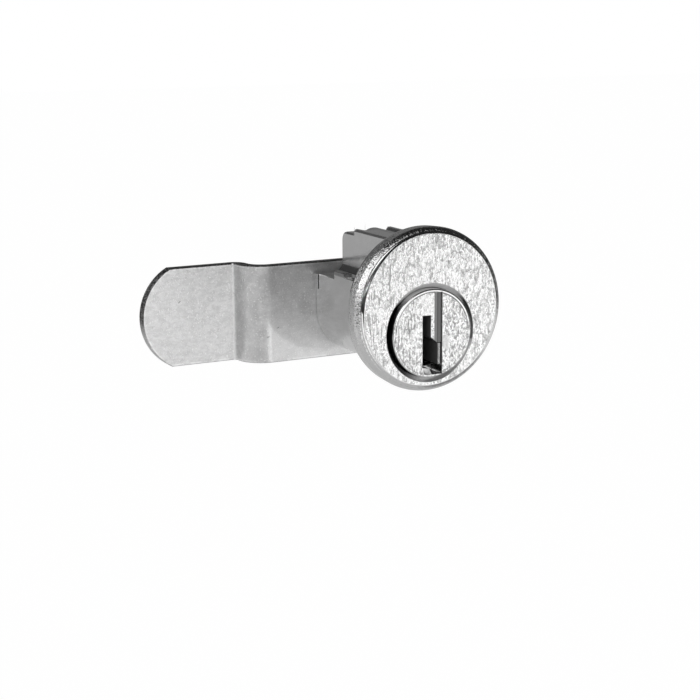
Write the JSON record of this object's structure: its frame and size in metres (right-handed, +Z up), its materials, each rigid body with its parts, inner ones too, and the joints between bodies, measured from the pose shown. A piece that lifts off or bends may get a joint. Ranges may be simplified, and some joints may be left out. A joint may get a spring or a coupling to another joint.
{
  "type": "mailbox lock",
  "caption": "Cam lock for a mailbox door: round head, pin-tumbler plug set low in it, and a cranked flat cam behind the barrel that swings up when the key turns.",
  "frame": {"origin": "on the plug's axis, where the back of the head meets the outside of the door", "axes": "+Y into the mailbox along the plug's axis, +Z up along the pin tower, +X to the right as seen from outside; the cam points to -X at rest"},
  "size_m": [0.0444, 0.0299, 0.0235],
  "materials": {
    "housing_nickel": "bright nickel plate, the head's face satin with upright brush marks",
    "cover_nickel": "brass strip, nickel plated with the housing",
    "plug_nickel": "bright nickel plate, the face satin with upright brush marks",
    "cam_steel": "sheet steel with bright nickel plate",
    "washer_steel": "zinc-plated steel",
    "screw_steel": "zinc-plated steel",
    "pin_brass": "turned brass",
    "spring_steel": "stainless spring wire"
  },
  "bodies": {
    "housing": {"lock_housing": "housing_nickel", "chamber_cover": "cover_nickel", "pin_spring_1": "spring_steel", "pin_spring_2": "spring_steel", "pin_spring_3": "spring_steel", "pin_spring_4": "spring_steel", "pin_spring_5": "spring_steel"},
    "plug": {"key_plug": "plug_nickel", "stop_washer": "washer_steel", "cam": "cam_steel", "lock_washer": "washer_steel", "cam_screw": "screw_steel"},
    "key_pin_1": {"key_pin_1": "pin_brass"},
    "driver_pin_1": {"driver_pin_1": "pin_brass"},
    "key_pin_2": {"key_pin_2": "pin_brass"},
    "driver_pin_2": {"driver_pin_2": "pin_brass"},
    "key_pin_3": {"key_pin_3": "pin_brass"},
    "driver_pin_3": {"driver_pin_3": "pin_brass"},
    "key_pin_4": {"key_pin_4": "pin_brass"},
    "driver_pin_4": {"driver_pin_4": "pin_brass"},
    "key_pin_5": {"key_pin_5": "pin_brass"},
    "driver_pin_5": {"driver_pin_5": "pin_brass"}
  },
  "joints": [
    {"name": "plug_turn", "type": "hinge", "parent": "housing", "child": "plug", "pos_m": [0, 0, 0], "axis": [0, 1, 0], "range_deg": [0, 90]},
    {"name": "key_pin_1_drop", "type": "slide", "parent": "plug", "child": "key_pin_1", "axis": [0, 0, 1], "range_m": [-0.0016, 0]},
    {"name": "driver_pin_1_drop", "type": "slide", "parent": "housing", "child": "driver_pin_1", "axis": [0, 0, 1], "range_m": [-0.0016, 0], "stiffness_N_per_m": 50, "springref_m": -0.004, "deforming": ["pin_spring_1"]},
    {"name": "key_pin_2_drop", "type": "slide", "parent": "plug", "child": "key_pin_2", "axis": [0, 0, 1], "range_m": [-0.0011, 0]},
    {"name": "driver_pin_2_drop", "type": "slide", "parent": "housing", "child": "driver_pin_2", "axis": [0, 0, 1], "range_m": [-0.0011, 0], "stiffness_N_per_m": 50, "springref_m": -0.004, "deforming": ["pin_spring_2"]},
    {"name": "key_pin_3_drop", "type": "slide", "parent": "plug", "child": "key_pin_3", "axis": [0, 0, 1], "range_m": [-0.0018, 0]},
    {"name": "driver_pin_3_drop", "type": "slide", "parent": "housing", "child": "driver_pin_3", "axis": [0, 0, 1], "range_m": [-0.0018, 0], "stiffness_N_per_m": 50, "springref_m": -0.004, "deforming": ["pin_spring_3"]},
    {"name": "key_pin_4_drop", "type": "slide", "parent": "plug", "child": "key_pin_4", "axis": [0, 0, 1], "range_m": [-0.0009, 0]},
    {"name": "driver_pin_4_drop", "type": "slide", "parent": "housing", "child": "driver_pin_4", "axis": [0, 0, 1], "range_m": [-0.0009, 0], "stiffness_N_per_m": 50, "springref_m": -0.004, "deforming": ["pin_spring_4"]},
    {"name": "key_pin_5_drop", "type": "slide", "parent": "plug", "child": "key_pin_5", "axis": [0, 0, 1], "range_m": [-0.0014, 0]},
    {"name": "driver_pin_5_drop", "type": "slide", "parent": "housing", "child": "driver_pin_5", "axis": [0, 0, 1], "range_m": [-0.0014, 0], "stiffness_N_per_m": 50, "springref_m": -0.004, "deforming": ["pin_spring_5"]}
  ],
  "couplings": [
    {"joint": "driver_pin_1_drop", "follows": "key_pin_1_drop", "ratio": 1},
    {"joint": "driver_pin_2_drop", "follows": "key_pin_2_drop", "ratio": 1},
    {"joint": "driver_pin_3_drop", "follows": "key_pin_3_drop", "ratio": 1},
    {"joint": "driver_pin_4_drop", "follows": "key_pin_4_drop", "ratio": 1},
    {"joint": "driver_pin_5_drop", "follows": "key_pin_5_drop", "ratio": 1}
  ]
}
